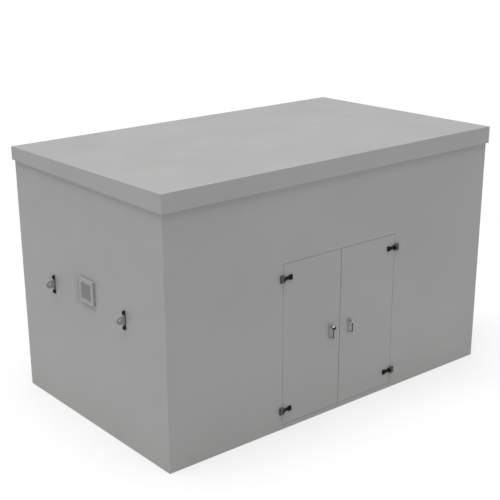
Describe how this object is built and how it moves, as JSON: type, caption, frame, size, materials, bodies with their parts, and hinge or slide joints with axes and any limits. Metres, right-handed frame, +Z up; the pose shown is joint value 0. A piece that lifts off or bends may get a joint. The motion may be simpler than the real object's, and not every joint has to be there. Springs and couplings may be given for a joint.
{
  "type": "home standby generator",
  "caption": "Home standby generator in a weatherproof steel enclosure with double service doors, end vent and lifting eyes; engine, alternator and controls inside.",
  "frame": {"origin": "ground level, centre of the four anchor holes, under the middle of the walls' footprint", "axes": "+X along the length towards the air discharge end, +Y towards the rear wall, +Z up; the doors face -Y and the square vent faces -X"},
  "size_m": [1.6708, 1, 1],
  "materials": {
    "alternator_paint": "satin paint",
    "battery_case": "moulded polypropylene",
    "belt_rubber": "ribbed belt",
    "bolt_black": "black oxide",
    "cable_black": "PVC sheath",
    "cast_alloy": "sand cast",
    "cast_iron": "painted casting",
    "chrome_lock": "polished",
    "cleaner_plastic": "moulded",
    "control_paint": "textured powder coat",
    "cover_black": "wrinkle paint",
    "duct_steel": "galvanised sheet",
    "enclosure_paint": "smooth satin powder coat",
    "exhaust_steel": "aluminised steel, heat tinted",
    "eye_grey": "satin grey paint",
    "fan_plastic": "glass filled nylon",
    "filter_white": "enamel",
    "foam": "open cell acoustic foam",
    "forged_steel": "machined",
    "frame_paint": "satin black paint",
    "hinge_black": "black powder coat",
    "hinge_grey": "dark grey cast zinc, satin",
    "hose_rubber": "reinforced coolant hose",
    "latch_zinc": "light grey cast zinc",
    "lever_black": "moulded",
    "lever_dark": "dark satin cast zinc",
    "louvre_paint": "smooth satin powder coat",
    "mesh_grey": "pressed slotted sheet, satin",
    "mount_rubber": "natural rubber",
    "pin_steel": "turned",
    "plate_dark": "satin dark grey paint",
    "radiator_black": "black painted aluminium",
    "seal_rubber": "matte EPDM",
    "stop_red": "gloss red",
    "winding_steel": "laminated steel and varnished copper",
    "zinc_steel": "zinc plated"
  },
  "bodies": {
    "enclosure": {"base_frame": "frame_paint", "front_panel": "enclosure_paint", "rear_panel": "enclosure_paint", "left_end_panel": "enclosure_paint", "right_end_panel": "enclosure_paint", "roof_lid": "enclosure_paint", "weather_seals": "seal_rubber", "acoustic_linings": "foam", "vent_frame": "louvre_paint", "vent_mesh": "mesh_grey", "lifting_eyes": "eye_grey", "eye_base_plates": "plate_dark", "eye_bolts": "bolt_black", "hinge_frame_leaves": "hinge_grey", "hinge_pins": "pin_steel", "intake_louvre": "louvre_paint", "discharge_louvre": "louvre_paint", "skid_rails": "frame_paint", "av_mounts": "mount_rubber", "engine_block": "cast_iron", "cylinder_head": "cast_alloy", "rocker_cover": "cover_black", "oil_sump": "cover_black", "flywheel_housing": "cast_alloy", "alternator_housing": "alternator_paint", "drive_belt": "belt_rubber", "starter_motor": "cover_black", "radiator": "radiator_black", "fan_shroud": "fan_plastic", "discharge_duct": "duct_steel", "muffler": "exhaust_steel", "exhaust_pipe": "exhaust_steel", "air_cleaner": "cleaner_plastic", "oil_filter": "filter_white", "battery": "battery_case", "battery_cables": "cable_black", "coolant_hoses": "hose_rubber", "control_box": "control_paint"},
    "left_leaf": {"left_door": "enclosure_paint", "left_door_lining": "foam", "left_hinge_leaves": "hinge_black", "left_hinge_screws": "bolt_black", "left_latch_body": "latch_zinc"},
    "left_lever": {"left_handle": "lever_dark", "left_latch_cam": "zinc_steel"},
    "lock": {"lock_cylinder": "chrome_lock"},
    "right_leaf": {"right_door": "enclosure_paint", "right_door_lining": "foam", "right_hinge_leaves": "hinge_black", "right_hinge_screws": "bolt_black", "right_latch_body": "latch_zinc"},
    "right_lever": {"right_handle": "lever_dark", "right_latch_disc": "zinc_steel"},
    "upper_bolt": {"upper_shoot_bolt": "zinc_steel"},
    "lower_bolt": {"lower_shoot_bolt": "zinc_steel"},
    "shaft_line": {"crankshaft": "forged_steel", "alternator_rotor": "winding_steel"},
    "cooling_fan": {"fan": "fan_plastic"},
    "stop_button": {"emergency_stop": "stop_red"},
    "breaker": {"main_breaker_lever": "lever_black"}
  },
  "joints": [
    {"name": "left_door_hinge", "type": "hinge", "parent": "enclosure", "child": "left_leaf", "pos_m": [-0.286, -0.488, 0.3375], "axis": [0, 0, -1], "range_deg": [0, 120]},
    {"name": "right_door_hinge", "type": "hinge", "parent": "enclosure", "child": "right_leaf", "pos_m": [0.286, -0.488, 0.3375], "axis": [0, 0, 1], "range_deg": [0, 120]},
    {"name": "left_handle_turn", "type": "hinge", "parent": "left_leaf", "child": "left_lever", "pos_m": [-0.0495, -0.49, 0.354], "axis": [0, -1, 0], "range_deg": [0, 90]},
    {"name": "right_handle_turn", "type": "hinge", "parent": "right_leaf", "child": "right_lever", "pos_m": [0.0495, -0.49, 0.354], "axis": [0, 1, 0], "range_deg": [0, 90]},
    {"name": "lock_turn", "type": "hinge", "parent": "left_lever", "child": "lock", "pos_m": [-0.0495, -0.5, 0.354], "axis": [0, -1, 0], "range_deg": [0, 90]},
    {"name": "upper_bolt_slide", "type": "slide", "parent": "right_leaf", "child": "upper_bolt", "axis": [0, 0, 1], "range_m": [0, 0.014]},
    {"name": "lower_bolt_slide", "type": "slide", "parent": "right_leaf", "child": "lower_bolt", "axis": [0, 0, -1], "range_m": [0, 0.014]},
    {"name": "crank_spin", "type": "hinge", "parent": "enclosure", "child": "shaft_line", "pos_m": [0, 0.03, 0.25], "axis": [1, 0, 0], "continuous": true},
    {"name": "fan_spin", "type": "hinge", "parent": "enclosure", "child": "cooling_fan", "pos_m": [0.37, 0.03, 0.4], "axis": [1, 0, 0], "continuous": true},
    {"name": "stop_press", "type": "slide", "parent": "enclosure", "child": "stop_button", "axis": [0, 1, 0], "range_m": [0, 0.006]},
    {"name": "breaker_throw", "type": "hinge", "parent": "enclosure", "child": "breaker", "pos_m": [-0.06, -0.306, 0.53], "axis": [-1, 0, 0], "range_deg": [0, 50]}
  ],
  "couplings": [
    {"joint": "upper_bolt_slide", "follows": "right_handle_turn", "m_per_rad": 0.0089},
    {"joint": "lower_bolt_slide", "follows": "right_handle_turn", "m_per_rad": 0.0089},
    {"joint": "fan_spin", "follows": "crank_spin", "ratio": 1.5217}
  ]
}
